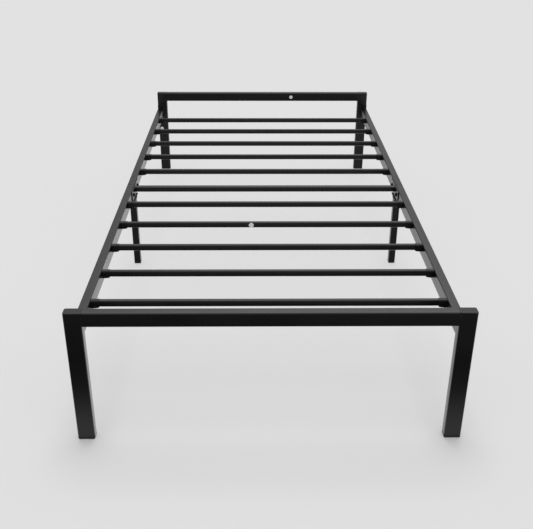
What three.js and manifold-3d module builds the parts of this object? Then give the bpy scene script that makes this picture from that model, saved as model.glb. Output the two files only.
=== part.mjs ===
// Knock-down metal platform bed frame, single size.
//
// Two end frames (a pair of legs and a top bar each) carry two side rails, and every rail is two
// halves that meet over a middle leg. Ten slats and one thicker crossbar span the rails.
//
// Frame: millimetres, +Z up. The origin is on the floor under the centre of the bed, +Y points to the
// head end, and left is -X, as seen by someone who stands at the foot end.
import * as THREE from "three";
import { mergeVertices } from "three/addons/utils/BufferGeometryUtils.js";
import Module from "manifold-3d";

const wasm = await Module();
wasm.setup();

// ---------------------------------------------------------------- driving dimensions
const FRAME_WIDTH = 990;
const FRAME_LENGTH = 1980;
const FRAME_HEIGHT = 380; // floor to the top of the end bars
const DECK_DROP = 72; // from the top of the end bars down to the top of the side rails

const STEEL_WALL = 1.5; // every tube
const TUBE_CORNER = 3; // outside corner radius of the bar, rail and middle leg tubes
const LEG_CORNER = 4.5; // outside corner radius of the end legs

const END_TUBE_DEPTH = 26; // legs and end bars, along the bed
const LEG_WIDTH = 44;
const END_BAR_HEIGHT = 38;

const RAIL_WIDTH = 25;
const RAIL_HEIGHT = 42;
const JOINT_SEAM = 1.2; // between the two halves of a rail

const END_PLATE_THICKNESS = 3; // welded across the end of each rail
const END_PLATE_WIDTH = 38;
const END_PLATE_RISE = 18; // the bolt tab, above the rail
const PIN_DIAMETER = 8; // locating pin on the end plate

const SLATS_PER_HALF = 5;
const FIRST_SLAT_FROM_JOINT = 155; // centre line
const LAST_SLAT_FROM_LEG = 161; // centre line to the leg's inner face
const SLAT_HEIGHT = 18;
const SLAT_DEPTH = 14;
const SLAT_CORNER = 3.5;

const SOCKET_LENGTH = 22;
const SOCKET_WALL = 0.8; // round the slat
const SOCKET_SOLE = 2.8; // below the slat, at the rail
const SOCKET_BACK = 3; // behind the slat's end
const SOCKET_NOSE = 9; // the stretch where the sole thins out
const SOCKET_PEG_DIAMETER = 8;
const SOCKET_PEG_REACH = 3; // past the inside of the rail's wall

const CROSSBAR_FROM_JOINT = 14; // centre line, on the foot side of the joint
const CROSSBAR_HEIGHT = 18;
const CROSSBAR_DEPTH = 21;
const CROSSBAR_CORNER = 3;

const JOINT_PLATE_THICKNESS = 3; // ties the two half rails on their inner faces
const JOINT_PLATE_REACH = 70; // each way from the joint
const JOINT_PLATE_MARGIN = 2; // short of the rail's top and bottom
const JOINT_PLATE_ROUND = 16; // lower corners
const JOINT_PIN_DIAMETER = 8;
const JOINT_PIN_FROM_JOINT = 45;

const MID_LEG_SIZE = 24;
const MID_LEG_INSET = 8; // from the rail's outer face
const SADDLE_THICKNESS = 3; // plate on top of a middle leg
const SADDLE_LENGTH = 80;
const SADDLE_INSET = 2; // from the rail's outer face
const STUD_DIAMETER = 6;
const STUD_SPACING = 60;
const STUD_REACH = 5; // past the inside of the rail's wall

const GLIDE_HEIGHT = 9; // plastic foot below a leg
const GLIDE_EDGE = 3;
const CAP_THICKNESS = 3; // plastic cap on top of an end leg
const CAP_EDGE = 1.2;
const PLUG_DEPTH = 14; // glides and caps, into the tube

const BOLT_DIAMETER = 6;
const BOLT_HEAD_DIAMETER = 13;
const BOLT_HEAD_HEIGHT = 5;
const BOLT_REACH = 8; // past the inside of the leg's wall
const BOLT_FROM_EDGE = 19; // from the leg's outer face
const BOLT_ABOVE_RAIL = 9; // the middle of the bolt tab

const GAP = 0.3; // between faces that meet, and round everything that fits in a hole

const CORNER_STEPS = 2; // a corner has twice as many flats
const ROUND_STEPS = 10;

// ---------------------------------------------------------------- positions that follow
const halfWidth = FRAME_WIDTH / 2;
const halfLength = FRAME_LENGTH / 2;
const deckZ = FRAME_HEIGHT - DECK_DROP;
const legFaceY = halfLength - END_TUBE_DEPTH;
const legX = halfWidth - LEG_WIDTH / 2;
const railX = halfWidth - RAIL_WIDTH / 2;
const railFaceX = halfWidth - RAIL_WIDTH;
const railZ = deckZ - RAIL_HEIGHT / 2;
const boltX = halfWidth - BOLT_FROM_EDGE;
const boltZ = deckZ + BOLT_ABOVE_RAIL;

const slatPitch = (legFaceY - LAST_SLAT_FROM_LEG - FIRST_SLAT_FROM_JOINT) / (SLATS_PER_HALF - 1);
const slatTopZ = deckZ - SOCKET_WALL - GAP;
const slatZ = slatTopZ - SLAT_HEIGHT / 2;
const socketBottomZ = slatTopZ - SLAT_HEIGHT - GAP - SOCKET_SOLE;
const socketZ = (deckZ + socketBottomZ) / 2;
const socketBackX = railFaceX - GAP;
const slatEndX = socketBackX - SOCKET_BACK - GAP;

const jointPlateX = railFaceX - GAP - JOINT_PLATE_THICKNESS;
const crossbarY = -CROSSBAR_FROM_JOINT;
const crossbarZ = slatTopZ - CROSSBAR_HEIGHT / 2;

const midLegX = halfWidth - MID_LEG_INSET - MID_LEG_SIZE / 2;
const saddleTopZ = deckZ - RAIL_HEIGHT - GAP;
const studYs = [crossbarY - STUD_SPACING / 2, crossbarY + STUD_SPACING / 2];

// ---------------------------------------------------------------- materials
const coat = new THREE.MeshStandardMaterial({ color: 0x1d1d1e, roughness: 0.42, metalness: 0.35 });
const plastic = new THREE.MeshStandardMaterial({ color: 0x161616, roughness: 0.6, metalness: 0 });
const fastener = new THREE.MeshStandardMaterial({ color: 0x2a2a2b, roughness: 0.35, metalness: 0.9 });

// ---------------------------------------------------------------- shape helpers
// A rectangle with round corners, centred on the origin.
function roundedPath(path, width, height, radius) {
  const x = width / 2;
  const y = height / 2;
  const r = Math.min(radius, x, y);
  path.moveTo(x, -y + r);
  path.lineTo(x, y - r);
  path.absarc(x - r, y - r, r, 0, Math.PI / 2, false);
  path.lineTo(-x + r, y);
  path.absarc(-x + r, y - r, r, Math.PI / 2, Math.PI, false);
  path.lineTo(-x, -y + r);
  path.absarc(-x + r, -y + r, r, Math.PI, 1.5 * Math.PI, false);
  path.lineTo(x - r, -y);
  path.absarc(x - r, -y + r, r, 1.5 * Math.PI, 2 * Math.PI, false);
  return path;
}

function roundedShape(width, height, radius) {
  return roundedPath(new THREE.Shape(), width, height, radius);
}

// A prism along +Z, centred on the origin.
function prism(shape, length) {
  const geometry = new THREE.ExtrudeGeometry(shape, {
    depth: length,
    bevelEnabled: false,
    curveSegments: CORNER_STEPS,
  });
  return geometry.translate(0, 0, -length / 2);
}

// A prism whose long edges stay sharp and whose two ends are rounded over.
function pillow(width, height, radius, thickness, edge) {
  const shape = roundedShape(width - 2 * edge, height - 2 * edge, Math.max(radius - edge, 0.5));
  const geometry = new THREE.ExtrudeGeometry(shape, {
    depth: thickness - 2 * edge,
    bevelEnabled: true,
    bevelThickness: edge,
    bevelSize: edge,
    bevelSegments: CORNER_STEPS,
    curveSegments: CORNER_STEPS,
  });
  return geometry.translate(0, 0, edge - thickness / 2);
}

// An open tube along +Z.
function tube(width, height, radius, length) {
  const shape = roundedShape(width, height, radius);
  const inner = Math.max(radius - STEEL_WALL, 0.5);
  shape.holes.push(
    roundedPath(new THREE.Path(), width - 2 * STEEL_WALL, height - 2 * STEEL_WALL, inner),
  );
  return prism(shape, length);
}

// Turns a prism that runs along +Z so that it runs along X or Y. Its shape's x becomes Z for X runs.
function alongX(geometry) {
  return geometry.rotateY(Math.PI / 2);
}

function alongY(geometry) {
  return geometry.rotateX(-Math.PI / 2);
}

function rod(diameter, length) {
  return new THREE.CylinderGeometry(diameter / 2, diameter / 2, length, ROUND_STEPS);
}

function rodX(diameter, length) {
  return rod(diameter, length).rotateZ(Math.PI / 2);
}

function rodZ(diameter, length) {
  return rod(diameter, length).rotateX(Math.PI / 2);
}

function box(x, y, z) {
  return new THREE.BoxGeometry(x, y, z);
}

// ---------------------------------------------------------------- cuts and joins
function solid(geometry) {
  const bare = geometry.index ? geometry.toNonIndexed() : geometry.clone();
  bare.deleteAttribute("normal");
  bare.deleteAttribute("uv");
  const merged = mergeVertices(bare, 1e-4);
  const mesh = new wasm.Mesh({
    numProp: 3,
    vertProperties: new Float32Array(merged.attributes.position.array),
    triVerts: new Uint32Array(merged.index.array),
  });
  return new wasm.Manifold(mesh);
}

function geometryOf(made) {
  const mesh = made.getMesh();
  const points = new Float32Array(mesh.numVert * 3);
  for (let i = 0; i < mesh.numVert; i += 1) {
    points[3 * i] = mesh.vertProperties[mesh.numProp * i];
    points[3 * i + 1] = mesh.vertProperties[mesh.numProp * i + 1];
    points[3 * i + 2] = mesh.vertProperties[mesh.numProp * i + 2];
  }
  const geometry = new THREE.BufferGeometry();
  geometry.setAttribute("position", new THREE.BufferAttribute(points, 3));
  geometry.setIndex(new THREE.BufferAttribute(new Uint32Array(mesh.triVerts), 1));
  const flat = geometry.toNonIndexed();
  flat.computeVertexNormals();
  return flat;
}

function combine(base, joins, cuts) {
  let made = solid(base);
  for (const part of joins) {
    made = made.add(solid(part));
  }
  for (const part of cuts) {
    made = made.subtract(solid(part));
  }
  return geometryOf(made);
}

// ---------------------------------------------------------------- scene graph
const bed = new THREE.Group();
bed.name = "bed_frame";

function add(parent, name, geometry, material, x, y, z) {
  const mesh = new THREE.Mesh(geometry, material);
  mesh.name = name;
  mesh.position.set(x, y, z);
  parent.add(mesh);
  return mesh;
}

const SIDES = [
  { tag: "left", s: -1 },
  { tag: "right", s: 1 },
];
const ENDS = [
  { tag: "foot", e: -1 },
  { tag: "head", e: 1 },
];

// A plastic glide under a leg: a base with rounded edges, and a plug in the tube.
function glide(width, depth, corner) {
  const plugX = width - 2 * STEEL_WALL - 2 * GAP;
  const plugY = depth - 2 * STEEL_WALL - 2 * GAP;
  const plugLength = PLUG_DEPTH + GLIDE_HEIGHT / 2;
  const plug = prism(roundedShape(plugX, plugY, corner - STEEL_WALL), plugLength);
  plug.translate(0, 0, plugLength / 2);
  return combine(pillow(width, depth, corner, GLIDE_HEIGHT, GLIDE_EDGE), [plug], []);
}

// A cap on top of an end leg: only its upper edge is rounded.
function legCap() {
  const plugX = LEG_WIDTH - 2 * STEEL_WALL - 2 * GAP;
  const plugY = END_TUBE_DEPTH - 2 * STEEL_WALL - 2 * GAP;
  const lid = pillow(LEG_WIDTH, END_TUBE_DEPTH, LEG_CORNER, CAP_THICKNESS, CAP_EDGE);
  const skirtHeight = CAP_THICKNESS - CAP_EDGE;
  const skirt = prism(roundedShape(LEG_WIDTH, END_TUBE_DEPTH, LEG_CORNER), skirtHeight);
  skirt.translate(0, 0, (skirtHeight - CAP_THICKNESS) / 2);
  const plug = prism(roundedShape(plugX, plugY, LEG_CORNER - STEEL_WALL), PLUG_DEPTH);
  plug.translate(0, 0, -PLUG_DEPTH / 2);
  return combine(lid, [skirt, plug], []);
}

// ---------------------------------------------------------------- end frames
const legBottomZ = GLIDE_HEIGHT + GAP;
const legTopZ = FRAME_HEIGHT - CAP_THICKNESS - GAP;
const legLength = legTopZ - legBottomZ;
const legZ = (legTopZ + legBottomZ) / 2;
const endBarLength = FRAME_WIDTH - 2 * LEG_WIDTH - 2 * GAP;

for (const { tag, e } of ENDS) {
  const frame = new THREE.Group();
  frame.position.set(0, e * (halfLength - END_TUBE_DEPTH / 2), 0);
  bed.add(frame);

  add(
    frame,
    `${tag}_bar`,
    alongX(tube(END_BAR_HEIGHT, END_TUBE_DEPTH, TUBE_CORNER, endBarLength)),
    coat,
    0,
    0,
    FRAME_HEIGHT - END_BAR_HEIGHT / 2,
  );

  for (const { tag: side, s } of SIDES) {
    // The inner wall takes the corner bolt and the rail's locating pin.
    const wallY = -e * (END_TUBE_DEPTH / 2 - STEEL_WALL / 2);
    const boltHole = rod(BOLT_DIAMETER + 2 * GAP, 3 * STEEL_WALL);
    boltHole.translate(s * (boltX - legX), wallY, boltZ - legZ);
    const pinHole = rod(PIN_DIAMETER + 2 * GAP, 3 * STEEL_WALL);
    pinHole.translate(s * (railX - legX), wallY, railZ - legZ);
    add(
      frame,
      `${tag}_leg_${side}`,
      combine(tube(LEG_WIDTH, END_TUBE_DEPTH, LEG_CORNER, legLength), [], [boltHole, pinHole]),
      coat,
      s * legX,
      0,
      legZ,
    );
    add(
      frame,
      `${tag}_leg_cap_${side}`,
      legCap(),
      plastic,
      s * legX,
      0,
      FRAME_HEIGHT - CAP_THICKNESS / 2,
    );
    add(
      frame,
      `${tag}_leg_glide_${side}`,
      glide(LEG_WIDTH, END_TUBE_DEPTH, LEG_CORNER),
      plastic,
      s * legX,
      0,
      GLIDE_HEIGHT / 2,
    );
  }
}

// ---------------------------------------------------------------- side rails
const plateOuterY = legFaceY - GAP;
const plateInnerY = plateOuterY - END_PLATE_THICKNESS;

function slatY(index) {
  return FIRST_SLAT_FROM_JOINT + slatPitch * index;
}

// Half a rail, in a frame whose origin is on the joint, on the tube's centre line.
function halfRail(s, e) {
  const start = JOINT_SEAM / 2;
  const stop = plateOuterY - END_PLATE_THICKNESS / 2;
  const body = alongY(tube(RAIL_WIDTH, RAIL_HEIGHT, TUBE_CORNER, stop - start));
  body.translate(0, (e * (start + stop)) / 2, 0);

  const plateHeight = RAIL_HEIGHT + END_PLATE_RISE;
  const plate = alongY(
    prism(roundedShape(END_PLATE_WIDTH, plateHeight, TUBE_CORNER), END_PLATE_THICKNESS),
  );
  plate.translate(
    (s * (RAIL_WIDTH - END_PLATE_WIDTH)) / 2,
    (e * (plateInnerY + plateOuterY)) / 2,
    END_PLATE_RISE / 2,
  );

  const pinLength = END_PLATE_THICKNESS / 2 + GAP + STEEL_WALL + GAP + 2;
  const pin = rod(PIN_DIAMETER, pinLength);
  pin.translate(0, e * (plateOuterY - END_PLATE_THICKNESS / 2 + pinLength / 2), 0);

  const boltHole = rod(BOLT_DIAMETER + 2 * GAP, 2 * END_PLATE_THICKNESS);
  boltHole.translate(s * (boltX - railX), (e * (plateInnerY + plateOuterY)) / 2, boltZ - railZ);
  const cuts = [boltHole];

  const innerWallX = -s * (RAIL_WIDTH / 2 - STEEL_WALL / 2);
  for (let i = 0; i < SLATS_PER_HALF; i += 1) {
    const hole = rodX(SOCKET_PEG_DIAMETER + 2 * GAP, 3 * STEEL_WALL);
    hole.translate(innerWallX, e * slatY(i), socketZ - railZ);
    cuts.push(hole);
  }
  const jointPinHole = rodX(JOINT_PIN_DIAMETER + 2 * GAP, 3 * STEEL_WALL);
  jointPinHole.translate(innerWallX, e * JOINT_PIN_FROM_JOINT, 0);
  cuts.push(jointPinHole);

  const bottomWallZ = STEEL_WALL / 2 - RAIL_HEIGHT / 2;
  for (const y of studYs) {
    const hole = rodZ(STUD_DIAMETER + 2 * GAP, 3 * STEEL_WALL);
    hole.translate(0, y, bottomWallZ);
    cuts.push(hole);
  }
  return combine(body, [plate, pin], cuts);
}

for (const { tag, e } of ENDS) {
  for (const { tag: side, s } of SIDES) {
    add(bed, `rail_${tag}_${side}`, halfRail(s, e), coat, s * railX, 0, railZ);
  }
}

// ---------------------------------------------------------------- corner bolts
// Turned about +Z, head at the top, with the underside of the head on the origin.
function boltGeometry() {
  const shank = GAP + END_PLATE_THICKNESS + GAP + STEEL_WALL + BOLT_REACH;
  const r = BOLT_HEAD_DIAMETER / 2;
  const h = BOLT_HEAD_HEIGHT;
  const profile = [
    new THREE.Vector2(0, -shank),
    new THREE.Vector2(BOLT_DIAMETER / 2, -shank),
    new THREE.Vector2(BOLT_DIAMETER / 2, 0),
    new THREE.Vector2(r, 0),
    new THREE.Vector2(r, 0.35 * h),
    new THREE.Vector2(0.8 * r, 0.8 * h),
    new THREE.Vector2(0.45 * r, h),
    new THREE.Vector2(0, h),
  ];
  return new THREE.LatheGeometry(profile, ROUND_STEPS);
}

for (const { tag, e } of ENDS) {
  for (const { tag: side, s } of SIDES) {
    const bolt = add(
      bed,
      `corner_bolt_${tag}_${side}`,
      boltGeometry(),
      fastener,
      s * boltX,
      e * (plateInnerY - GAP),
      boltZ,
    );
    // The lathe's own axis is Y, so the head-end bolts are turned to point the other way.
    if (e > 0) {
      bolt.rotation.x = Math.PI;
    }
  }
}

// ---------------------------------------------------------------- slats and their sockets
const slatLength = 2 * slatEndX;
const socketDepth = SLAT_DEPTH + 2 * (GAP + SOCKET_WALL);
const socketHeight = deckZ - socketBottomZ;

// A socket, in a frame on the centre of its back face. It reaches away from the rail, along -s.
function socket(s) {
  const top = socketHeight / 2;
  const middle = slatZ - socketZ;
  const sleeveHeight = SLAT_HEIGHT + 2 * (GAP + SOCKET_WALL);
  const sole = new THREE.Shape();
  sole.moveTo(0, middle);
  sole.lineTo(0, -top);
  sole.lineTo(SOCKET_LENGTH - SOCKET_NOSE, -top);
  sole.lineTo(SOCKET_LENGTH, middle - sleeveHeight / 2);
  sole.lineTo(SOCKET_LENGTH, middle);
  sole.closePath();
  const body = prism(sole, socketDepth).rotateX(Math.PI / 2);

  const sleeve = alongX(
    prism(
      roundedShape(sleeveHeight, socketDepth, SLAT_CORNER + GAP + SOCKET_WALL),
      SOCKET_LENGTH,
    ),
  );
  sleeve.translate(SOCKET_LENGTH / 2, 0, middle);

  const pocket = alongX(
    prism(
      roundedShape(SLAT_HEIGHT + 2 * GAP, SLAT_DEPTH + 2 * GAP, SLAT_CORNER + GAP),
      SOCKET_LENGTH,
    ),
  );
  pocket.translate(SOCKET_BACK + SOCKET_LENGTH / 2, 0, middle);

  const pegLength = SOCKET_BACK / 2 + GAP + STEEL_WALL + SOCKET_PEG_REACH;
  const peg = rodX(SOCKET_PEG_DIAMETER, pegLength);
  peg.translate(SOCKET_BACK / 2 - pegLength / 2, 0, 0);

  const made = combine(body, [sleeve, peg], [pocket]);
  return s > 0 ? made.rotateZ(Math.PI) : made;
}

for (const { tag, e } of ENDS) {
  for (let i = 0; i < SLATS_PER_HALF; i += 1) {
    const y = e * slatY(i);
    add(
      bed,
      `slat_${tag}_${i + 1}`,
      alongX(tube(SLAT_HEIGHT, SLAT_DEPTH, SLAT_CORNER, slatLength)),
      coat,
      0,
      y,
      slatZ,
    );
    for (const { tag: side, s } of SIDES) {
      add(
        bed,
        `slat_socket_${tag}_${i + 1}_${side}`,
        socket(s),
        plastic,
        s * socketBackX,
        y,
        socketZ,
      );
    }
  }
}

// ---------------------------------------------------------------- middle support
add(
  bed,
  "mid_crossbar",
  alongX(tube(CROSSBAR_HEIGHT, CROSSBAR_DEPTH, CROSSBAR_CORNER, 2 * (jointPlateX - GAP))),
  coat,
  0,
  crossbarY,
  crossbarZ,
);

// The joint plate, in a frame on the joint, on the plate's outer face at the rail's mid height.
function jointPlate(s) {
  const reach = JOINT_PLATE_REACH;
  const half = RAIL_HEIGHT / 2 - JOINT_PLATE_MARGIN;
  const r = Math.min(JOINT_PLATE_ROUND, half);
  const outline = new THREE.Shape();
  outline.moveTo(-reach, half);
  outline.lineTo(-reach, -half + r);
  outline.absarc(-reach + r, -half + r, r, Math.PI, 1.5 * Math.PI, false);
  outline.lineTo(reach - r, -half);
  outline.absarc(reach - r, -half + r, r, 1.5 * Math.PI, 2 * Math.PI, false);
  outline.lineTo(reach, half);
  outline.closePath();
  const plate = prism(outline, JOINT_PLATE_THICKNESS);
  plate.rotateX(Math.PI / 2).rotateZ(Math.PI / 2);
  plate.translate((-s * JOINT_PLATE_THICKNESS) / 2, 0, 0);

  const pinLength = JOINT_PLATE_THICKNESS / 2 + GAP + STEEL_WALL + GAP + 2;
  const pins = [-1, 1].map((e) => {
    const pin = rodX(JOINT_PIN_DIAMETER, pinLength);
    return pin.translate(
      s * (pinLength / 2 - JOINT_PLATE_THICKNESS / 2),
      e * JOINT_PIN_FROM_JOINT,
      0,
    );
  });
  return combine(plate, pins, []);
}

// A middle leg with its saddle, in a frame on the floor under the centre of the leg.
function midLeg(s) {
  const bottom = GLIDE_HEIGHT + GAP;
  const top = saddleTopZ - SADDLE_THICKNESS / 2;
  const body = tube(MID_LEG_SIZE, MID_LEG_SIZE, TUBE_CORNER, top - bottom);
  body.translate(0, 0, (top + bottom) / 2);

  const inner = midLegX - MID_LEG_SIZE / 2;
  const outer = halfWidth - SADDLE_INSET;
  const saddle = box(outer - inner, SADDLE_LENGTH, SADDLE_THICKNESS);
  saddle.translate(s * ((outer + inner) / 2 - midLegX), 0, saddleTopZ - SADDLE_THICKNESS / 2);

  const studLength = SADDLE_THICKNESS / 2 + GAP + STEEL_WALL + STUD_REACH;
  const studs = studYs.map((y) => {
    const stud = rodZ(STUD_DIAMETER, studLength);
    return stud.translate(
      s * (railX - midLegX),
      y - crossbarY,
      saddleTopZ - SADDLE_THICKNESS / 2 + studLength / 2,
    );
  });
  return combine(body, [saddle, ...studs], []);
}

for (const { tag: side, s } of SIDES) {
  add(bed, `joint_plate_${side}`, jointPlate(s), coat, s * (railFaceX - GAP), 0, railZ);
  add(bed, `mid_leg_${side}`, midLeg(s), coat, s * midLegX, crossbarY, 0);
  add(
    bed,
    `mid_leg_glide_${side}`,
    glide(MID_LEG_SIZE, MID_LEG_SIZE, TUBE_CORNER),
    plastic,
    s * midLegX,
    crossbarY,
    GLIDE_HEIGHT / 2,
  );
}

export default bed;
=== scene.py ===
# %% [markdown]
# # A metal bed frame in satin black powder coat
#
# The bed is made of steel tube: two end frames, two side rails that are split over a middle leg,
# ten thin slats and one thicker crossbar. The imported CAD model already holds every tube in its
# place, so this lesson dresses it. It adds the camera and the light, the finishes, and the small
# things that a maker sees up close: weld beads, bolt heads and the paper dots of the paint shop.

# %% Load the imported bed
import math

import bmesh
import bpy
from mathutils import Matrix, Vector


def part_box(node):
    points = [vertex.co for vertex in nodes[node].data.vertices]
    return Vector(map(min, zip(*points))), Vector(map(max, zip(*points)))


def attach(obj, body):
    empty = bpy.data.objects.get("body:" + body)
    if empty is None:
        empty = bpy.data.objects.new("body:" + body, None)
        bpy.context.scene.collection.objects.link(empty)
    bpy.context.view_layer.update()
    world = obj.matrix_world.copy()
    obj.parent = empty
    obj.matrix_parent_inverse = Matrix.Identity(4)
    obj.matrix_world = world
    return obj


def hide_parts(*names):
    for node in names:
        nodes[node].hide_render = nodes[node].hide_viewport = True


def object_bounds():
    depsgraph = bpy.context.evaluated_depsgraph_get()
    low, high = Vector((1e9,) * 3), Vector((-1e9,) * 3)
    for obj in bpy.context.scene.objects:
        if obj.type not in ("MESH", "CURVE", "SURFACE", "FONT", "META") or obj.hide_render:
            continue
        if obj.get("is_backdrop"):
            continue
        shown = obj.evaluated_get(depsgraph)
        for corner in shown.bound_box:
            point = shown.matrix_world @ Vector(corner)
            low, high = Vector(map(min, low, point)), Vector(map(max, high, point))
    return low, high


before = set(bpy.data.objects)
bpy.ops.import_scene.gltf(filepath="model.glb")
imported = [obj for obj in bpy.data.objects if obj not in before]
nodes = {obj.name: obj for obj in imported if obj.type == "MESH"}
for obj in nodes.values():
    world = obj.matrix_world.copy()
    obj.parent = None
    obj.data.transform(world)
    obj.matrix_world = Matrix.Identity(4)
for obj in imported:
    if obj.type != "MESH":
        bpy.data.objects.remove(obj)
cad_low, cad_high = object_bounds()
print("nodes:", len(nodes), "bed size in m:", [round(v, 3) for v in cad_high - cad_low])

# %% [markdown]
# The camera stands a metre and a half behind the foot end, at chest height, and looks down along
# the bed. The lens is a normal one, so the far end narrows as it does to the eye. A small downward
# shift of the lens lets the camera itself tilt less, so that the uprights lean in less.
#
# A constraint that tracks a target could aim it. Here it gets one matrix made of a place and three
# turns, because every number can then be set by itself and read back.

# %% Camera at the foot end
CAMERA_BEHIND_FOOT = 1.5154
CAMERA_LEFT = 0.0400
CAMERA_HEIGHT = 1.3231
CAMERA_DOWN = math.radians(25.918)
CAMERA_TURN = math.radians(-0.674)
CAMERA_ROLL = math.radians(0.212)
SENSOR_WIDTH = 36.0
LENS_LENGTH = 50.64
LENS_SHIFT = (0.0084, -0.0553)

camera = bpy.data.objects.new("camera", bpy.data.cameras.new("camera"))
bpy.context.scene.collection.objects.link(camera)
camera.matrix_world = (
    Matrix.Translation((-CAMERA_LEFT, cad_low.y - CAMERA_BEHIND_FOOT, CAMERA_HEIGHT))
    @ Matrix.Rotation(CAMERA_TURN, 4, "Z")
    @ Matrix.Rotation(math.pi / 2 - CAMERA_DOWN, 4, "X")
    @ Matrix.Rotation(CAMERA_ROLL, 4, "Z")
)
camera.data.sensor_width = SENSOR_WIDTH
camera.data.lens = LENS_LENGTH
camera.data.shift_x, camera.data.shift_y = LENS_SHIFT
bpy.context.scene.camera = camera
print("camera height above the end bars:", round(CAMERA_HEIGHT - cad_high.z, 2), "m")

# %% [markdown]
# Shaders are trees of nodes. They can be drawn by hand in the shader editor, but in a script each
# node takes several lines. Five short helpers add a node and wire it in one, so that each finish
# below reads as a recipe: what goes in, what it does, and where it goes.


# %% Helpers for node trees
def put(tree, kind, links=None, **values):
    """Adds a node. Values set its own settings or its inputs; links wire inputs to outputs."""
    node = tree.nodes.new(kind)
    for name, value in values.items():
        if hasattr(node, name):
            setattr(node, name, value)
        else:
            node.inputs[name.replace("_", " ")].default_value = value
    for socket, source in (links or {}).items():
        tree.links.new(source, node.inputs[socket])
    return node


def ramp(tree, source, stops):
    """A colour ramp from pairs of a place and a grey or a colour."""
    node = put(tree, "ShaderNodeValToRGB", {0: source})
    places = node.color_ramp.elements
    while len(places) < len(stops):
        places.new(0.5)
    for element, (place, shade) in zip(places, stops):
        element.position = place
        element.color = (shade,) * 3 + (1.0,) if isinstance(shade, float) else (*shade, 1.0)
    return node.outputs["Color"]


def sum_of(tree, operation, first, second=0.5, third=0.0):
    """One sum, where each side is a number or the output of another node."""
    node = put(tree, "ShaderNodeMath", operation=operation)
    for socket, value in zip(node.inputs, (first, second, third)):
        if isinstance(value, (int, float)):
            socket.default_value = value
        else:
            tree.links.new(value, socket)
    return node.outputs[0]


def stretch(tree, source, low, high, to_low, to_high, smooth=False):
    """Maps one range of values to another."""
    node = put(tree, "ShaderNodeMapRange", {0: source})
    node.interpolation_type = "SMOOTHSTEP" if smooth else "LINEAR"
    for socket, value in zip(node.inputs[1:5], (low, high, to_low, to_high)):
        socket.default_value = value
    return node.outputs[0]


def blend_colour(tree, share, first, second):
    """Goes from the first colour to the second as share goes from 0 to 1."""
    node = put(tree, "ShaderNodeMix", data_type="RGBA")
    tree.links.new(share, node.inputs[0])
    for socket, value in ((node.inputs[6], first), (node.inputs[7], second)):
        if isinstance(value, tuple):
            socket.default_value = (*value, 1.0)
        else:
            tree.links.new(value, socket)
    return node.outputs[2]


print("helpers: put, ramp, sum_of, stretch, blend_colour")

# %% [markdown]
# The bed stands on a wide sheet of paper. A real sheet is swept up behind the object to hide the
# horizon. A flat one that runs far past the view does the same here and is simpler. It is a grid
# made with bmesh, and it is marked as stage, so that nobody takes it for a piece of the bed.

# %% Sheet of paper
FLOOR_SIZE = 60.0

floor_mesh = bpy.data.meshes.new("studio_floor")
shape = bmesh.new()
bmesh.ops.create_grid(shape, x_segments=6, y_segments=6, size=FLOOR_SIZE / 2)
shape.to_mesh(floor_mesh)
shape.free()
floor = bpy.data.objects.new("studio_floor", floor_mesh)
bpy.context.scene.collection.objects.link(floor)
floor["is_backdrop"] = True
print("floor:", FLOOR_SIZE, "m square")

# %% [markdown]
# The paper glows a little by itself, as a lit table does, so it stays even. The rest of its
# brightness comes from the dome and from one high soft lamp, and only that share takes shadows.
# The share is larger near the foot end, where the soft shadow lies. Lamps alone could light the
# paper, but then each change of a lamp would change its tone. Here its colour is worked out from
# the lights, so that glow and light always add up to the same white.

# %% Paper that glows a little
PAPER_WHITE = 0.760  # how bright the open floor looks
DOME_LIGHT = 0.75
LAMP_LIGHT = 1.15
LAMP_TILT = math.radians(-16)
GLOW_UNDER_BED = 0.52  # how much of that brightness the paper gives off by itself
GLOW_IN_FRONT = 0.22
FADE_FROM = cad_low.y + 0.20
FADE_TO = cad_low.y + 0.60

paper = bpy.data.materials.new("pale_paper")
paper.use_nodes = True
tree = paper.node_tree
tree.nodes.clear()
place = put(tree, "ShaderNodeTexCoord").outputs["Object"]
along = put(tree, "ShaderNodeSeparateXYZ", {0: place}).outputs["Y"]
glow = stretch(tree, along, FADE_FROM, FADE_TO, GLOW_IN_FRONT, GLOW_UNDER_BED, smooth=True)
light_on_floor = DOME_LIGHT + LAMP_LIGHT * math.cos(LAMP_TILT) / math.pi
takes = sum_of(tree, "DIVIDE", sum_of(tree, "SUBTRACT", PAPER_WHITE, glow), light_on_floor)
lit = put(tree, "ShaderNodeBsdfDiffuse", {"Color": takes})
own = put(tree, "ShaderNodeEmission", {"Color": glow}, Strength=1.0)
both = put(tree, "ShaderNodeAddShader", {0: lit.outputs[0], 1: own.outputs[0]})
print("light on the open floor:", round(light_on_floor, 3))

# %% [markdown]
# Glossy paint mirrors the floor. At the bottom of the front legs the paper shows up as a pale
# sheen that fades a hand's width above it, and higher up the paint mirrors the dark room. A black
# card on the floor would do that in a studio. Here the paper is clear to mirrored rays, apart from
# short ones that land in front of the foot end. The length of a mirrored ray says how far the
# paint is from the paper, so the sheen stays with the legs from every side.

# %% What the feet mirror
MIRRORED_FLOOR = 0.62  # brightness of the floor as the feet mirror it
MIRRORED_FULLY = 0.04  # up to this length of the ray, in metres
MIRRORED_NO_MORE = 0.34
FOOT_LINE = 0.01  # half the width of the line where the sheen ends under the bed

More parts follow.
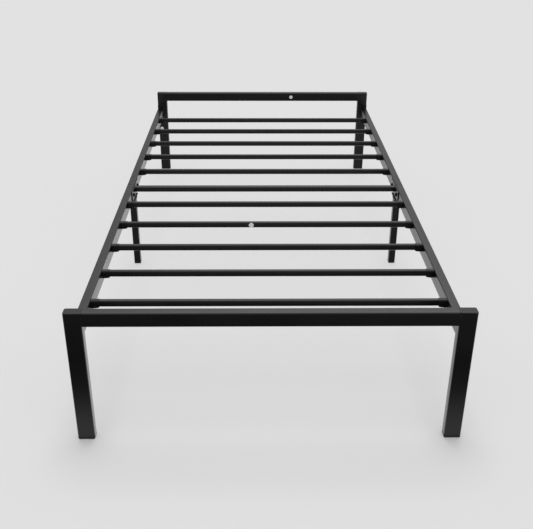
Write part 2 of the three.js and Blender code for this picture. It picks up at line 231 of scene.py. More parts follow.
ray = put(tree, "ShaderNodeLightPath")
ray_length = ray.outputs["Ray Length"]
close = stretch(tree, ray_length, MIRRORED_FULLY, MIRRORED_NO_MORE, 1.0, 0.0, smooth=True)
before_foot = stretch(tree, along, cad_low.y - FOOT_LINE, cad_low.y + FOOT_LINE, 1.0, 0.0)
share = sum_of(tree, "MULTIPLY", close, before_foot)
clear = put(tree, "ShaderNodeBsdfTransparent")
shine = put(tree, "ShaderNodeEmission", Strength=MIRRORED_FLOOR)
mirrored = put(tree, "ShaderNodeMixShader", {0: share, 1: clear.outputs[0], 2: shine.outputs[0]})
seen = put(tree, "ShaderNodeMixShader", {0: ray.outputs["Is Glossy Ray"], 1: both.outputs[0]})
tree.links.new(mirrored.outputs[0], seen.inputs[2])
put(tree, "ShaderNodeOutputMaterial", {0: seen.outputs[0]})
floor_mesh.materials.append(paper)
print("paper nodes:", len(tree.nodes))

# %% [markdown]
# Black paint shows what it mirrors and little else. What lies around the bed therefore has a
# brightness of its own for mirrored light, given by direction: dark where the front faces look,
# mid grey low behind the head end, bright high above, and pale below on the far side. A studio
# does the same with black and white boards. Boards could be modelled here too, but a dome that is
# painted by direction lights evenly, casts no shadow and takes no time to render.
#
# Each list gives a grey for each angle above the horizon, as seen towards one end of the bed.

# %% Greys of the dome
FOOT_SIDE = [
    (-36, 0.02), (-31, 0.08), (-28, 0.24), (-24, 0.35), (-18, 0.40), (-14, 0.55), (20, 0.6),
]
HEAD_SIDE = [(-40, 1.15), (-5, 0.85), (14, 0.42), (27, 0.56), (34, 2.1), (70, 1.2)]
LEFT_TO_RIGHT = [(-1.0, 0.92), (-0.25, 0.76), (0.0, 1.12), (0.25, 1.05), (1.0, 1.02)]


def tilt(degrees):
    """Where a direction so many degrees above the horizon lies on a ramp of the dome."""
    return 0.5 + 0.5 * math.sin(math.radians(degrees))


print("dome ramps:", len(FOOT_SIDE), "and", len(HEAD_SIDE), "steps")

# %% [markdown]
# A world shader gets the direction of each ray. Its Z says how high the ray looks, and its Y says
# towards which end. Two ramps turn the height into grey and a soft step mixes them. Mirrored rays
# read these greys, and all other light comes from one even grey, so that the shadows stay soft
# whatever the boards look like.

# %% Dome of light
TURN_TO_HEAD = (-0.25, 0.15)  # Y of the directions where the head side starts and is whole

world = bpy.data.worlds.new("studio_dome")
bpy.context.scene.world = world
world.use_nodes = True
tree = world.node_tree
tree.nodes.clear()
way = put(tree, "ShaderNodeTexCoord").outputs["Generated"]
split = put(tree, "ShaderNodeSeparateXYZ", {0: way})
height = sum_of(tree, "MULTIPLY_ADD", split.outputs["Z"], 0.5, 0.5)

foot_side = ramp(tree, height, [(tilt(angle), grey) for angle, grey in FOOT_SIDE])
head_side = ramp(tree, height, [(tilt(angle), grey) for angle, grey in HEAD_SIDE])
towards_head = stretch(tree, split.outputs["Y"], *TURN_TO_HEAD, 0.0, 1.0, smooth=True)
boards = blend_colour(tree, towards_head, foot_side, head_side)
across = sum_of(tree, "MULTIPLY_ADD", split.outputs["X"], 0.5, 0.5)
evenness = ramp(tree, across, [(0.5 + 0.5 * x, grey) for x, grey in LEFT_TO_RIGHT])
plain = put(tree, "ShaderNodeBackground", Color=(1.0, 1.0, 1.0, 1.0), Strength=DOME_LIGHT)
mirrored = put(tree, "ShaderNodeBackground", {"Color": boards, "Strength": evenness})
ray = put(tree, "ShaderNodeLightPath")
pick = put(tree, "ShaderNodeMixShader", {0: ray.outputs["Is Glossy Ray"], 1: plain.outputs[0]})
tree.links.new(mirrored.outputs[0], pick.inputs[2])
put(tree, "ShaderNodeOutputWorld", {0: pick.outputs[0]})
print("world nodes:", len(tree.nodes))

# %% [markdown]
# The soft shadow under the bed needs one lamp from above. An area lamp would have to be very large
# and would fall off across a bed this long. A sun lamp with a wide angle gives the same soft edge
# and an even light. It is hidden from mirrored rays, because the dome draws those.

# %% High soft lamp
LAMP_SOFTNESS = math.radians(30)

lamp = bpy.data.objects.new("high_soft_lamp", bpy.data.lights.new("high_soft_lamp", "SUN"))
lamp.data.energy = LAMP_LIGHT
lamp.data.angle = LAMP_SOFTNESS
lamp.rotation_euler = (LAMP_TILT, 0.0, 0.0)
lamp.visible_glossy = False
bpy.context.scene.collection.objects.link(lamp)
bpy.context.scene.view_settings.view_transform = "Standard"
print("lamp leans towards the foot end by", round(-math.degrees(LAMP_TILT)), "degrees")

# %% [markdown]
# The CAD corners are made of a few flats. Real tube corners are drawn round. A bevel modifier could
# round them, but it would change the shape, which has to stay as the CAD made it. So a small set
# of geometry nodes only joins the loose triangles and shades every corner round where its faces
# meet at a small angle, and leaves cut ends crisp. A weighted normal modifier after it lets the
# wide flats win, so that only the corners look round.

# %% Shade the tube corners round
CRISP_FROM = math.radians(40)
JOIN_WITHIN = 0.00001
FLATS_LEAD = 80  # how strongly a wide flat holds its normal against the narrow corner strips

rounding = bpy.data.node_groups.new("round_tube_corners", "GeometryNodeTree")
for way_in in ("INPUT", "OUTPUT"):
    rounding.interface.new_socket("Geometry", in_out=way_in, socket_type="NodeSocketGeometry")
start = put(rounding, "NodeGroupInput").outputs[0]
bare = put(rounding, "GeometryNodeRemoveAttribute", {"Geometry": start}, Name="custom_normal")
joined = put(
    rounding, "GeometryNodeMergeByDistance", {"Geometry": bare.outputs[0]}, Distance=JOIN_WITHIN
)
smooth = put(
    rounding, "GeometryNodeSetShadeSmooth", {"Geometry": joined.outputs[0]}, domain="FACE"
)
angle = put(rounding, "GeometryNodeInputMeshEdgeAngle").outputs["Unsigned Angle"]
crisp = sum_of(rounding, "GREATER_THAN", angle, CRISP_FROM)
edges = put(
    rounding,
    "GeometryNodeSetShadeSmooth",
    {"Geometry": smooth.outputs[0], "Selection": crisp},
    domain="EDGE",
    Shade_Smooth=False,
)
put(rounding, "NodeGroupOutput", {0: edges.outputs[0]})

for node in nodes.values():
    node.modifiers.new("round_tube_corners", "NODES").node_group = rounding
    level = node.modifiers.new("keep_flats_flat", "WEIGHTED_NORMAL")
    level.keep_sharp = True
    level.weight = FLATS_LEAD
print("corners rounded on", len(nodes), "nodes")

# %% [markdown]
# Powder coat is dry paint that melts in an oven. It flows into a skin that looks like orange peel
# under a lamp, with a finer grain on top. Real displacement could make it, but lumps this small
# would need millions of faces, so it is a height for a bump node. One node group makes that height
# and a slow cloud, which every finish uses to vary its tone and gloss, because no coat is equally
# thick all over. In a group it is built once and placed in each material with its own sizes.


# %% Node group for the skin of the paint
def start_group(name, inputs, outputs):
    """A shader node group with named number inputs and outputs."""
    group = bpy.data.node_groups.new(name, "ShaderNodeTree")
    for label, value in inputs.items():
        socket = group.interface.new_socket(label, in_out="INPUT", socket_type="NodeSocketFloat")
        socket.default_value = value
    for label in outputs:
        group.interface.new_socket(label, in_out="OUTPUT", socket_type="NodeSocketFloat")
    given = group.nodes.new("NodeGroupInput").outputs
    made = group.nodes.new("NodeGroupOutput").inputs
    return group, given, made


def noise(tree, where, size, detail=2.0):
    """Even noise whose lumps are about so many metres across."""
    scale = sum_of(tree, "DIVIDE", 1.0, size)
    lumps = put(tree, "ShaderNodeTexNoise", {"Vector": where, "Scale": scale}, Detail=detail)
    return lumps.outputs[0]


GRAIN_SHARE = 0.35  # height of the grain against that of the peel
CLOUD_ENDS = (0.3, 0.7)  # the part of the noise that is stretched to a whole cloud

skin, given, made = start_group(
    "paint_skin",
    {"Grain Size": 0.0009, "Peel Size": 0.004, "Cloud Size": 0.14},
    ("Height", "Cloud"),
)
where = put(skin, "ShaderNodeTexCoord").outputs["Object"]
grain = noise(skin, where, given["Grain Size"])
peel = noise(skin, where, given["Peel Size"], detail=1.0)
height = sum_of(skin, "MULTIPLY_ADD", grain, GRAIN_SHARE, peel)
skin.links.new(height, made["Height"])
slow = noise(skin, where, given["Cloud Size"], detail=4.0)
skin.links.new(stretch(skin, slow, *CLOUD_ENDS, 0.0, 1.0), made["Cloud"])
print("group:", skin.name)

# %% [markdown]
# Corners of tube are touched most, in the box and on the stairs, so the paint there is rubbed
# lighter. The lighter edge colour is partly that wear and partly a painted highlight along every
# edge. The wear could be painted by hand, but there are 59 nodes. The bevel node gives the normal
# that the surface would have with a softer edge. Where it differs from the true normal there is an
# edge, and broken noise turns that line into separate spots of wear and painted highlight.

# %% Node group for rubbed edges and painted edge highlights
EDGE_ENDS = (0.995, 0.90)  # how alike the two normals are where an edge starts and is whole
PATCH_ENDS = (0.48, 0.66)

edge_wear_and_highlight_group, given, made = start_group(
    "edge_wear_and_highlight", {"Reach": 0.0015, "Patch Size": 0.03, "Amount": 1.0}, ("Mask",)
)
soft_normal = put(edge_wear_and_highlight_group, "ShaderNodeBevel", {"Radius": given["Reach"]}, samples=6).outputs[0]
true_normal = put(edge_wear_and_highlight_group, "ShaderNodeNewGeometry").outputs["Normal"]
alike = put(edge_wear_and_highlight_group, "ShaderNodeVectorMath", {0: soft_normal, 1: true_normal}, operation="DOT_PRODUCT")
edge = stretch(edge_wear_and_highlight_group, alike.outputs["Value"], *EDGE_ENDS, 0.0, 1.0)
where = put(edge_wear_and_highlight_group, "ShaderNodeTexCoord").outputs["Object"]
broken = noise(edge_wear_and_highlight_group, where, given["Patch Size"], detail=6.0)
patches = stretch(edge_wear_and_highlight_group, broken, *PATCH_ENDS, 0.0, 1.0)
# the mask that lightens the edges: partly rubbed wear, partly a painted highlight
spots = sum_of(edge_wear_and_highlight_group, "MULTIPLY", sum_of(edge_wear_and_highlight_group, "MULTIPLY", edge, patches), given["Amount"])
edge_wear_and_highlight_group.links.new(spots, made["Mask"])
print("group:", edge_wear_and_highlight_group.name)

# %% [markdown]
# Faces that look up gather a little dust. Scattered specks could show it close by, but from a step
# away it is only a paler film. Here that paler film is partly dust and partly painted light on
# the faces that look up. The mask takes the upward part of the normal and breaks it with a fine
# noise. It is faint on a clean bed, but it keeps the tops from being perfect.

# %% Node group for dust and painted light on the tops
UPWARD_ENDS = (0.4, 1.0)  # how far a face looks up where dust and painted top light start and are whole
DRIFT_ENDS = (0.35, 0.75)

dust_and_top_light_group, given, made = start_group("dust_and_top_light", {"Amount": 0.5, "Patch Size": 0.05}, ("Mask",))
normal = put(dust_and_top_light_group, "ShaderNodeNewGeometry").outputs["Normal"]
looks_up = put(dust_and_top_light_group, "ShaderNodeSeparateXYZ", {0: normal}).outputs["Z"]
upward = stretch(dust_and_top_light_group, looks_up, *UPWARD_ENDS, 0.0, 1.0)
where = put(dust_and_top_light_group, "ShaderNodeTexCoord").outputs["Object"]
fine = noise(dust_and_top_light_group, where, given["Patch Size"], detail=8.0)
drift = stretch(dust_and_top_light_group, fine, *DRIFT_ENDS, 0.0, 1.0)
# the mask that lightens the tops: partly dust, partly painted light from above
lies = sum_of(dust_and_top_light_group, "MULTIPLY", sum_of(dust_and_top_light_group, "MULTIPLY", upward, drift), given["Amount"])
dust_and_top_light_group.links.new(lies, made["Mask"])
print("group:", dust_and_top_light_group.name)

# %% [markdown]
# All finishes here share one recipe: two close tones mixed by the cloud, then edges lightened by
# wear and a painted highlight, then dust with painted light on the tops, and a roughness that
# follows them. They could be three separate materials, but only the numbers differ, so the recipe
# is one function. The groups give masks and heights, and the shader itself, with the values that
# are the same all over, stays in the material.

# %% The recipe for a finish
# the paler colour of the tops: partly dust, partly painted light
DUST_AND_TOP_LIGHT_COLOUR = (0.16, 0.15, 0.14)
DUST_DULLS = 0.25  # roughness that full dust adds


def use_group(tree, group, **values):
    """Places a node group in a material with its own values."""
    node = put(tree, "ShaderNodeGroup", node_tree=group)
    for name, value in values.items():
        node.inputs[name.replace("_", " ")].default_value = value
    return node.outputs


def make_finish(name, tones, rubbed, gloss, skin_sizes, bump, wear_and_highlight, dust_and_top_light_amount, metal=0.0, level=0.5):
    """A finish with its own numbers.

    tones: the two base colours. rubbed: the colour of the edges, partly worn paint and partly a
    painted highlight. gloss: roughness from and to. skin_sizes: size of grain and peel. bump: its
    strength and height. wear: the reach of an edge, the size of its patches and how much is worn
    and painted lighter. dusty: amount of dust and painted top light. level: mirrored light.
    """
    finish = bpy.data.materials.new(name)
    finish.use_nodes = True
    tree = finish.node_tree
    shader = tree.nodes["Principled BSDF"]
    skin_out = use_group(tree, skin, Grain_Size=skin_sizes[0], Peel_Size=skin_sizes[1])
    edge_wear_and_highlight_mask = use_group(tree, edge_wear_and_highlight_group, Reach=wear_and_highlight[0], Patch_Size=wear_and_highlight[1], Amount=wear_and_highlight[2])["Mask"]
    dust_and_top_light_mask = use_group(tree, dust_and_top_light_group, Amount=dust_and_top_light_amount)["Mask"]
    colour = blend_colour(tree, skin_out["Cloud"], *tones)
    # the edges: partly rubbed paint, partly a painted highlight along every edge
    colour = blend_colour(tree, edge_wear_and_highlight_mask, colour, rubbed)
    # the tops: partly dust, partly painted light from above
    colour = blend_colour(tree, dust_and_top_light_mask, colour, DUST_AND_TOP_LIGHT_COLOUR)
    tree.links.new(colour, shader.inputs["Base Color"])
    rough = stretch(tree, skin_out["Cloud"], 0.0, 1.0, *gloss)
    rough = sum_of(tree, "MULTIPLY_ADD", dust_and_top_light_mask, DUST_DULLS, rough)
    tree.links.new(rough, shader.inputs["Roughness"])
    relief = put(
        tree, "ShaderNodeBump", {"Height": skin_out["Height"]}, Strength=bump[0], Distance=bump[1]
    )
    tree.links.new(relief.outputs[0], shader.inputs["Normal"])
    shader.inputs["Metallic"].default_value = metal
    shader.inputs["Specular IOR Level"].default_value = level
    return finish


print("recipe uses groups:", skin.name, edge_wear_and_highlight_group.name, dust_and_top_light_group.name)

# %% [markdown]
# The tubes are satin black: very dark, with a soft gloss. The caps, glides and slat sockets are
# moulded plastic, duller and a trace lighter, with a spark grain from the mould. The bolts are
# blackened steel, which is metal under a thin dark skin and shows bright on its edges. One black
# for all would be quicker, but then the sockets and bolts would melt into the tubes beside them.

# %% The three finishes
powder_coat = make_finish(
    "powder_coat",
    tones=((0.0004, 0.0004, 0.0005), (0.0014, 0.0014, 0.0015)),
    # lighter edges: partly worn paint, partly a painted edge highlight
    rubbed=(0.032, 0.032, 0.033),
    gloss=(0.25, 0.31),
    skin_sizes=(0.0008, 0.0035),
    bump=(0.55, 0.00020),
    wear_and_highlight=(0.0016, 0.03, 0.9),
    dust_and_top_light_amount=0.02,
)
moulded_plastic = make_finish(
    "moulded_plastic",
    tones=((0.0014, 0.0014, 0.0014), (0.0030, 0.0030, 0.0031)),
    # lighter edges: partly worn plastic, partly a painted edge highlight
    rubbed=(0.012, 0.012, 0.012),
    gloss=(0.34, 0.44),
    skin_sizes=(0.0005, 0.0012),
    bump=(0.35, 0.0001),
    wear_and_highlight=(0.0010, 0.02, 0.5),
    dust_and_top_light_amount=0.02,
    level=0.42,
)
blackened_steel = make_finish(
    "blackened_steel",
    tones=((0.010, 0.010, 0.011), (0.022, 0.021, 0.021)),
    rubbed=(0.30, 0.29, 0.28),
    gloss=(0.30, 0.42),
    skin_sizes=(0.0004, 0.0015),
    bump=(0.20, 0.00005),
    wear_and_highlight=(0.0006, 0.006, 0.8),
    dust_and_top_light_amount=0.03,
    metal=1.0,
)
print("finishes:", powder_coat.name, moulded_plastic.name, blackened_steel.name)

# %% [markdown]
# Each CAD node comes with the name of a slot: coat, plastic or fastener. The finishes could be
# given out by the names of the nodes, but the slot already says what a maker would order for the
# piece, so it picks the finish.

# %% Put the finishes on the CAD nodes
FINISH_OF = {"coat": powder_coat, "plastic": moulded_plastic, "fastener": blackened_steel}
for name, node in nodes.items():
    slot_name = node.data.materials[0].name.split(".")[0]
    node.data.materials[0] = FINISH_OF[slot_name]
    node.material_slots[0].material = FINISH_OF[slot_name]
print("dressed:", len(nodes))

# %% [markdown]
# The small pieces are all skins over a row of rings: a bolt head is rings round its axis, and a
# weld bead is rings along its path. Screw and curve modifiers could make them too, but rings in
# mesh code give clean closed solids, with every point where it was meant. One helper closes such a
# row into a mesh, and another turns a mesh into a piece that rides on the bed.


# %% Helpers for small pieces
def skin_over(shape, rings, closed=False):
    """Joins rings of points, all with the same count, into one skin, and caps its two ends."""
    rows = [[shape.verts.new(point) for point in ring] for ring in rings]
    pairs = list(zip(rows, rows[1:])) + ([(rows[-1], rows[0])] if closed else [])
    for lower, upper in pairs:
        count = len(lower)
        for i in range(count):
            j = (i + 1) % count
            shape.faces.new((lower[i], lower[j], upper[j], upper[i]))
    if not closed:
        shape.faces.new(list(reversed(rows[0])))
        shape.faces.new(rows[-1])


def make_piece(name, shape, finish, crisp_from=35):
    """Turns a finished shape into a piece of the bed."""
    bmesh.ops.recalc_face_normals(shape, faces=shape.faces)
    mesh = bpy.data.meshes.new(name)
    shape.to_mesh(mesh)
    shape.free()
    mesh.polygons.foreach_set("use_smooth", [True] * len(mesh.polygons))
    mesh.set_sharp_from_angle(angle=math.radians(crisp_from))
    mesh.materials.append(finish)
    piece = bpy.data.objects.new(name, mesh)
    bpy.context.scene.collection.objects.link(piece)
    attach(piece, "root")
    return piece


SIDES = (("left", -1), ("right", 1))
ENDS = (("foot", -1), ("head", 1))
print("ready for", len(SIDES) * len(ENDS), "corners")

# %% [markdown]
# Bolts and washers are turned round an axis, and some are hexagonal in part. A screw modifier spins
# a profile, but only into round parts. Here each ring is given by its radius, its height and how
# far it is a hexagon, from 0 for a circle to 1, so one helper makes them all.

# %% Turned and hexagonal parts
RING_POINTS = 48  # a multiple of 6, so that the corners of a hexagon fall on points


def turned(shape, rings, centre, axis):
    """Rings of (radius, height, share of hexagon) round an axis. Hexagons are sized to flats."""
    axis = Vector(axis).normalized()
    across = axis.orthogonal().normalized()
    other = axis.cross(across)
    made = []
    for radius, height, hexagon in rings:
        ring = []
        for i in range(RING_POINTS):
            turn = 2 * math.pi * i / RING_POINTS
            to_flat = (turn + math.pi / 6) % (math.pi / 3) - math.pi / 6
            reach = radius * (1 - hexagon + hexagon / math.cos(to_flat))
            side = across * math.cos(turn) + other * math.sin(turn)
            ring.append(Vector(centre) + side * reach + axis * height)
        made.append(ring)
    skin_over(shape, made)


print("points in a turned ring:", RING_POINTS)

# %% [markdown]
# A button-head bolt is a low dome, with a hexagon punched into its top for the key. A boolean could
# cut that hexagon out of a dome, but it leaves long thin faces that shade badly. Here the rings are
# circles up to the rim and hexagons down the socket. The dome is listed in shares of the head's
# size, so one list serves heads of any size.

# %% Rings of a button head
HEAD_RADIUS = 0.0065
KEY_RADIUS = 0.0020
RIM_OVER_KEY = 1.28
RIM_WIDTH = 0.0004
UNDERSIDE_AND_DOME = [  # shares of the head's radius and of its height
    (0.6, 0.0), (0.96, 0.0), (1.0, 0.06), (1.0, 0.26), (0.93, 0.52), (0.80, 0.76), (0.62, 0.92),
]


def button_head(radius, height, key):
    """Rings of a domed head with a hexagon socket, from its underside up."""
    rim = key * RIM_OVER_KEY
    return [
        *[(radius * out, height * up, 0.0) for out, up in UNDERSIDE_AND_DOME],
        (rim + RIM_WIDTH, height, 0.0),
        (rim, height * 0.99, 0.0),
        (key, height * 0.90, 1.0),
        (key, height * 0.40, 1.0),
        (key * 0.5, height * 0.30, 0.0),
    ]


print("button head:", HEAD_RADIUS * 2000, "mm across")

# %% [markdown]
# Each rail is held to its leg by one bolt, which goes through the tab above the rail. The CAD bolt
# is a plain stepped cylinder. A better material alone wouldn't give it a socket or a dome, so a new
# bolt takes its place, with the same head, shank and seat, and the CAD one is hidden.

# %% Corner bolts, in place of the plain CAD ones
HEAD_HEIGHT = 0.0050
SHANK_RADIUS = 0.0030
SHANK_POINT = 0.0006  # how far its end is chamfered

for end, e in ENDS:
    for side, _ in SIDES:
        node = f"corner_bolt_{end}_{side}"
        low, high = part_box(node)
        face_y = high.y if e < 0 else low.y
        seat = Vector(((low.x + high.x) / 2, face_y + e * HEAD_HEIGHT, (low.z + high.z) / 2))
        shank = (high.y - low.y) - HEAD_HEIGHT
        shape = bmesh.new()
        rings = [
            (SHANK_RADIUS - SHANK_POINT, -shank, 0.0),
            (SHANK_RADIUS, SHANK_POINT - shank, 0.0),
            (SHANK_RADIUS, 0.0, 0.0),
        ]
        rings += button_head(HEAD_RADIUS, HEAD_HEIGHT, KEY_RADIUS)
        turned(shape, rings, seat, (0, -e, 0))
        bolt = make_piece(f"bolt_{end}_{side}", shape, blackened_steel)
        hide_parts(node)
print("corner bolts: 4, shank", round(shank * 1000, 1), "mm")

# %% [markdown]
# A flat plate on the inner face of each rail ties its two halves, held by a bolt and a washer on
# either side of the seam. They stand on the face of the plate, so their place is read from its box.
# Each bolt could be a piece of its own, but a maker counts a side's pair as one set, and so does
# this.

# %% Bolts of the joint plates
PLATE_BOLT_FROM_SEAM = 0.045
PLATE_HEAD_HEIGHT = 0.0042
WASHER_THICKNESS = 0.0012
WASHER = [
    (0.0045, 0.0, 0.0), (0.0085, 0.0, 0.0), (0.0088, 0.0003, 0.0), (0.0086, 0.0010, 0.0),
    (0.0070, WASHER_THICKNESS, 0.0),
]

for side, s in SIDES:
    low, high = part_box(f"joint_plate_{side}")
    face_x = high.x if s < 0 else low.x
    plate_z = (low.z + high.z) / 2
    shape = bmesh.new()
    for e in (-1, 1):
        centre = Vector((face_x, e * PLATE_BOLT_FROM_SEAM, plate_z))
        turned(shape, WASHER, centre, (-s, 0, 0))
        centre.x -= s * WASHER_THICKNESS
        turned(shape, button_head(HEAD_RADIUS, PLATE_HEAD_HEIGHT, KEY_RADIUS), centre, (-s, 0, 0))
    make_piece(f"joint_bolts_{side}", shape, blackened_steel)
print("joint plate bolts at height", round(plate_z, 4), "m")

# %% [markdown]
# The saddle of each middle leg is bolted up into the rail from below. Nobody sees those heads, so
# they are plain hexagons with a chamfer. They use the same helper as the button heads, with rings
# that are hexagons up to the chamfer.

# %% Bolts under the saddles
RAIL_WIDTH = 0.025
SADDLE_BOLT_FROM_LEG = 0.030
SADDLE_BELOW_RAIL = 0.0033  # the play and the saddle's own thickness
HEX_HEAD = [
    (0.0030, 0.0, 0.0), (0.0050, 0.0, 1.0), (0.0050, 0.0030, 1.0), (0.0046, 0.0038, 0.6),
    (0.0038, 0.0040, 0.0),
]

for side, s in SIDES:
    glide_low, glide_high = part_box(f"mid_leg_glide_{side}")
    leg_y = (glide_low.y + glide_high.y) / 2
    rail_x = s * (cad_high.x - RAIL_WIDTH / 2)
    under_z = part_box(f"rail_foot_{side}")[0].z - SADDLE_BELOW_RAIL
    shape = bmesh.new()
    for e in (-1, 1):
        centre = Vector((rail_x, leg_y + e * SADDLE_BOLT_FROM_LEG, under_z))
        turned(shape, HEX_HEAD, centre, (0, 0, -1))
    make_piece(f"saddle_bolts_{side}", shape, blackened_steel)
print("saddle bolts at height", round(under_z, 4), "m")

# %% [markdown]
# Welds are laid as a string of small overlapping pools, so the bead is a round cord whose
# thickness ripples. It is swept along the corner where two tubes meet. A curve with a round bevel
# would make an even cord. Rings in mesh code can swell and thin at each pool, and run out thin at
# both ends, as a welder's bead does.

# %% A bead along a path
POINT_STEP = 0.0007
POOL_LENGTH = 0.0026
RIPPLE = 0.14  # how much a pool swells and thins, as a share of the bead's radius
ASIDE = Vector((0.31, 0.52, 0.79))  # a direction that no weld runs in
END_SIZE, END_GROWTH = 0.35, 0.25  # a bead starts this thin and grows this much with each ring


def along_path(corners, closed=False):
    """Points about a step apart along straight runs between the corners."""
    runs = list(zip(corners, corners[1:])) + ([(corners[-1], corners[0])] if closed else [])
    points = []
    for a, b in runs:
        count = max(1, round((b - a).length / POINT_STEP))
        points += [a.lerp(b, i / count) for i in range(count)]
    return points if closed else points + [corners[-1]]


def bead(shape, points, radius, closed=False, sides=8):
    """Sweeps a rippled cord along the points, thin at its two ends unless it is closed."""
    rings, travelled = [], 0.0
    last = len(points) - 1
    for i, point in enumerate(points):
        before = points[i - 1] if i or closed else point
        after = points[(i + 1) % len(points)] if i < last or closed else point
        travelled += (point - before).length if i else 0.0
        heading = (after - before).normalized()
        across = heading.cross(ASIDE).normalized()
        other = heading.cross(across)
        size = radius * (1 + RIPPLE * math.sin(2 * math.pi * travelled / POOL_LENGTH))
        if not closed:
            size *= min(1.0, END_SIZE + END_GROWTH * min(i, last - i))
        turns = [2 * math.pi * k / sides for k in range(sides)]
        rings.append([point + (across * math.cos(t) + other * math.sin(t)) * size for t in turns])
    skin_over(shape, rings, closed)


print("a pool of a bead:", round(POOL_LENGTH / POINT_STEP, 1), "rings long")

# %% [markdown]
# The end bar meets the round corner of each leg and leaves a groove there. On the real frame weld
# metal fills it and is ground flush before painting, so that from the front the two tubes look like
# one. A bead would stand proud, so this is a smooth filling whose back follows the leg's corner.

# %% Outline of a ground weld
LEG_CORNER = 0.0045
TUBE_CORNER = 0.0030
BELOW_FACE = 0.0001  # a ground weld lies a hair below the tubes beside it
INTO_STEEL = 0.0006


def groove_ring(leg_x, s, face_y, inward, z, steps=8):
    """The outline, at one height, of what fills the groove between a leg's corner and the bar."""
    front = face_y + inward * BELOW_FACE
    ring = [Vector((leg_x - s * INTO_STEEL, front, z)), Vector((leg_x + s * LEG_CORNER, front, z))]
    reach = LEG_CORNER - INTO_STEEL / 2
    for i in range(steps + 1):
        turn = math.pi / 2 * i / steps
        x = leg_x + s * (LEG_CORNER - reach * math.sin(turn))
        y = face_y + inward * (LEG_CORNER - reach * math.cos(turn))
        ring.append(Vector((x, y, z)))
    return ring + [Vector((leg_x - s * INTO_STEEL, face_y + inward * LEG_CORNER, z))]


print("points in the outline:", len(groove_ring(0.0, 1, 0.0, 1, 0.0)))

# %% [markdown]
# Each end bar gets such a filling on its front and back, and a plain bead under it, where the
# grinder doesn't reach. One piece holds all three for each corner, because they are one weld.

# %% Welds of the end frames
FILLET_RADIUS = 0.0022
FILLET_INSET = 0.004  # from the faces of the bar to the ends of the bead below it

for end, _ in ENDS:
    bar_low, bar_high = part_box(f"{end}_bar")
    for side, s in SIDES:
        leg_low, leg_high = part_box(f"{end}_leg_{side}")
        leg_x = leg_high.x if s < 0 else leg_low.x
        shape = bmesh.new()
        for face_y, inward in ((bar_low.y, 1), (bar_high.y, -1)):
            heights = (bar_low.z + TUBE_CORNER, bar_high.z - TUBE_CORNER)
            skin_over(shape, [groove_ring(leg_x, s, face_y, inward, z) for z in heights])
        ends = (bar_low.y + FILLET_INSET, bar_high.y - FILLET_INSET)
        bead(shape, along_path([Vector((leg_x, y, bar_low.z)) for y in ends]), FILLET_RADIUS)
        make_piece(f"weld_{end}_bar_{side}", shape, powder_coat)
print("bar welds: 4, from height", round(bar_low.z, 3), "m")

# %% [markdown]
# Each rail is welded to its end plate. The bead runs along the top, down the inner face and along
# the bottom. The outer face is ground clean, because people see it. The path is a short list of
# corner points, read from the boxes of the rail, the leg and the joint plate.

# %% Welds of the rails
TUBE_CUT = 0.0018  # how far a bead cuts across the corner of a tube
END_PLATE = 0.0030
BEAD_OFF_PLATE = 0.0006
PLATE_BELOW_TOP = 0.002  # the joint plate ends this far below the top of the rail
THICK_BEAD = 0.0015
THIN_BEAD = 0.0012

for side, s in SIDES:
    outer_x = s * (cad_high.x - TUBE_CORNER)
    inner_x = s * (cad_high.x - RAIL_WIDTH)
    top_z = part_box(f"joint_plate_{side}")[1].z + PLATE_BELOW_TOP
    for end, e in ENDS:
        low_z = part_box(f"rail_{end}_{side}")[0].z
        leg_low, leg_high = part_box(f"{end}_leg_{side}")
        leg_face = leg_high.y if e < 0 else leg_low.y
        weld_y = leg_face - e * (END_PLATE + BEAD_OFF_PLATE)
        run = [
            Vector((outer_x, weld_y, top_z)),
            Vector((inner_x + s * TUBE_CUT, weld_y, top_z)),
            Vector((inner_x, weld_y, top_z - TUBE_CUT)),
            Vector((inner_x, weld_y, low_z + TUBE_CUT)),
            Vector((inner_x + s * TUBE_CUT, weld_y, low_z)),
            Vector((outer_x, weld_y, low_z)),
        ]
        shape = bmesh.new()
        bead(shape, along_path(run), THICK_BEAD)
        make_piece(f"weld_rail_{end}_{side}", shape, powder_coat, crisp_from=60)
print("rail welds: 4, from height", round(low_z, 3), "to", round(top_z, 3), "m")

# %% [markdown]
# The crossbar and the middle legs are welded all round. A closed bead has no thin ends, so the same
# sweep joins its last ring to its first. Its path is the outline of the tube with the corners cut,
# which is close enough to the round corner of so small a tube.


# %% Welds of the crossbar and the middle legs
def rounded_corners(low_a, high_a, low_b, high_b, place_at):
    """The eight corners of a rectangle with its corners cut, as points."""
    cut = TUBE_CUT
    flat = [
        (low_a + cut, low_b), (high_a - cut, low_b), (high_a, low_b + cut), (high_a, high_b - cut),
        (high_a - cut, high_b), (low_a + cut, high_b), (low_a, high_b - cut), (low_a, low_b + cut),
    ]
    return [place_at(a, b) for a, b in flat]


CROSSBAR_BEAD_IN = 0.0004  # from the end of the crossbar to the middle of its bead
SADDLE_BEAD_BELOW = 0.0002

for side, s in SIDES:
    low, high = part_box("mid_crossbar")
    end_x = s * (high.x - CROSSBAR_BEAD_IN)
    ring = rounded_corners(low.y, high.y, low.z, high.z, lambda y, z: Vector((end_x, y, z)))
    shape = bmesh.new()
    bead(shape, along_path(ring, closed=True), THIN_BEAD, closed=True)
    make_piece(f"weld_crossbar_{side}", shape, powder_coat, crisp_from=60)
    low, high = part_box(f"mid_leg_glide_{side}")
    weld_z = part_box(f"rail_foot_{side}")[0].z - SADDLE_BELOW_RAIL - SADDLE_BEAD_BELOW
    ring = rounded_corners(low.x, high.x, low.y, high.y, lambda x, y: Vector((x, y, weld_z)))
    shape = bmesh.new()
    bead(shape, along_path(ring, closed=True), THICK_BEAD, closed=True)
    make_piece(f"weld_saddle_{side}", shape, powder_coat, crisp_from=60)
print("crossbar and saddle welds: 4")

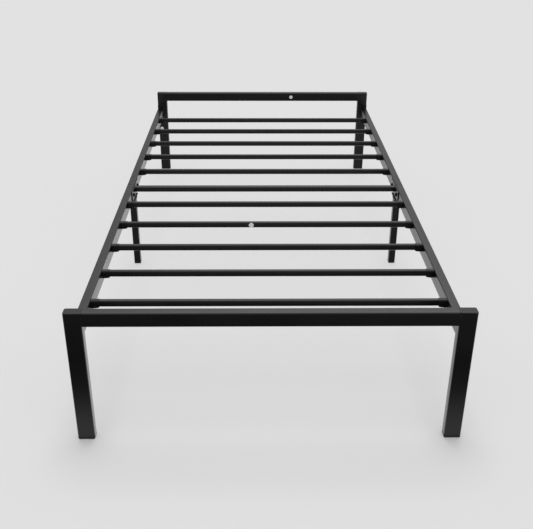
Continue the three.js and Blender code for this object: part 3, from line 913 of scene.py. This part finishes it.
# %% [markdown]
# Three round paper dots are stuck on after the oven, and are left blank here. Their paper is off
# white, dull and fibrous, with a rim that is a little dirty. It has its own material, but it takes
# the same node groups as the paint, with much smaller sizes: the peel becomes fibres, and the
# rubbed edge becomes dirt.

# %% The paper of the dots
FIBRE_SIZE = 0.0014
DIRT_COLOUR = (0.30, 0.29, 0.27)

paper_dot = bpy.data.materials.new("paper_dot")
paper_dot.use_nodes = True
tree = paper_dot.node_tree
shader = tree.nodes["Principled BSDF"]
fibre = use_group(tree, skin, Grain_Size=0.0003, Peel_Size=FIBRE_SIZE, Cloud_Size=0.006)
edge_wear_and_highlight_mask = use_group(tree, edge_wear_and_highlight_group, Reach=0.0010, Patch_Size=0.004, Amount=0.6)["Mask"]
colour = blend_colour(tree, fibre["Cloud"], (0.66, 0.65, 0.61), (0.78, 0.77, 0.74))
colour = blend_colour(tree, edge_wear_and_highlight_mask, colour, DIRT_COLOUR)
tree.links.new(colour, shader.inputs["Base Color"])
tree.links.new(stretch(tree, fibre["Cloud"], 0.0, 1.0, 0.5, 0.65), shader.inputs["Roughness"])
relief = put(tree, "ShaderNodeBump", {"Height": fibre["Height"]}, Strength=0.3, Distance=0.00005)
tree.links.new(relief.outputs[0], shader.inputs["Normal"])
shader.inputs["Specular IOR Level"].default_value = 0.3
print("finish:", paper_dot.name)

# %% [markdown]
# Each dot is a thin disc with a soft rim. It could be an image on the tube, but a real disc catches
# the light at its rim and stays a piece that can be taken off. It is made of rings of points, front
# and back. On the slat a dot is nearly as high as the tube, so its top and bottom follow the round
# corners of the tube.

# %% A dot on a face
DOT_RADIUS = 0.0080
DOT_THICKNESS = 0.00025
RIM_FROM = 0.9  # the share of the radius where the rim starts to thin
RIM_THICKNESS = 0.55  # the rim's share of the thickness
SLAT_FLAT = 0.0055  # from the middle of the slat to where its corner starts
SLAT_CORNER = 0.0035
DOT_RINGS = 9


def corner_drop(z):
    """How far a slat's face falls back at this height from its middle."""
    over = min(max(abs(z) - SLAT_FLAT, 0.0), SLAT_CORNER)
    return SLAT_CORNER - math.sqrt(SLAT_CORNER**2 - over**2)


def stick_dot(name, centre, follows=lambda z: 0.0):
    """A thin disc on a face that looks towards the foot end."""
    shape = bmesh.new()
    front, back = [], []
    for i in range(1, DOT_RINGS + 1):
        share = i / DOT_RINGS
        lift = DOT_THICKNESS * (1.0 if share < RIM_FROM else RIM_THICKNESS)
        for store, off in ((front, lift), (back, 0.0)):
            ring = []
            for k in range(RING_POINTS):
                turn = 2 * math.pi * k / RING_POINTS
                x, z = (DOT_RADIUS * share * part for part in (math.cos(turn), math.sin(turn)))
                ring.append(centre + Vector((x, follows(z) - off, z)))
            store.append(ring)
    skin_over(shape, front + back[::-1])
    return make_piece(name, shape, paper_dot)


print("a dot is", DOT_RADIUS * 2000, "mm across")

# %% [markdown]
# Where a dot was stuck is a worker's choice, so its place along the bar, the leg or the slat is
# just a number. The face that it lies on is read from the box of its tube.

# %% The three dots
BAR_DOT_RIGHT = 0.135  # from the middle of the bed
SLAT_DOT_LEFT = 0.049
LEG_DOT_IN = 0.014  # from the outer face of the leg
LEG_DOT_HEIGHT = 0.208

low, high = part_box("head_bar")
stick_dot("dot_head_bar", Vector((BAR_DOT_RIGHT, low.y, (low.z + high.z) / 2)))
low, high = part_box("head_leg_left")
stick_dot("dot_head_leg", Vector((low.x + LEG_DOT_IN, low.y, LEG_DOT_HEIGHT)))
low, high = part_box("slat_foot_2")
slat_middle = Vector((-SLAT_DOT_LEFT, low.y, (low.z + high.z) / 2))
stick_dot("dot_slat", slat_middle, follows=corner_drop)
print("dots: 3")

# %% [markdown]
# Last, the dressed bed's box is held against that of the CAD model, and how far it grew on each
# side is printed in millimetres. Nothing may stand outside it, because the dressed model takes the
# place of the CAD one wherever it is shown. A look at the picture wouldn't show half a millimetre,
# and two boxes do.

# %% Print the growth and finish
low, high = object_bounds()
print("grown by, in mm:", [round(v * 1000, 2) for v in (*(cad_low - low), *(high - cad_high))])
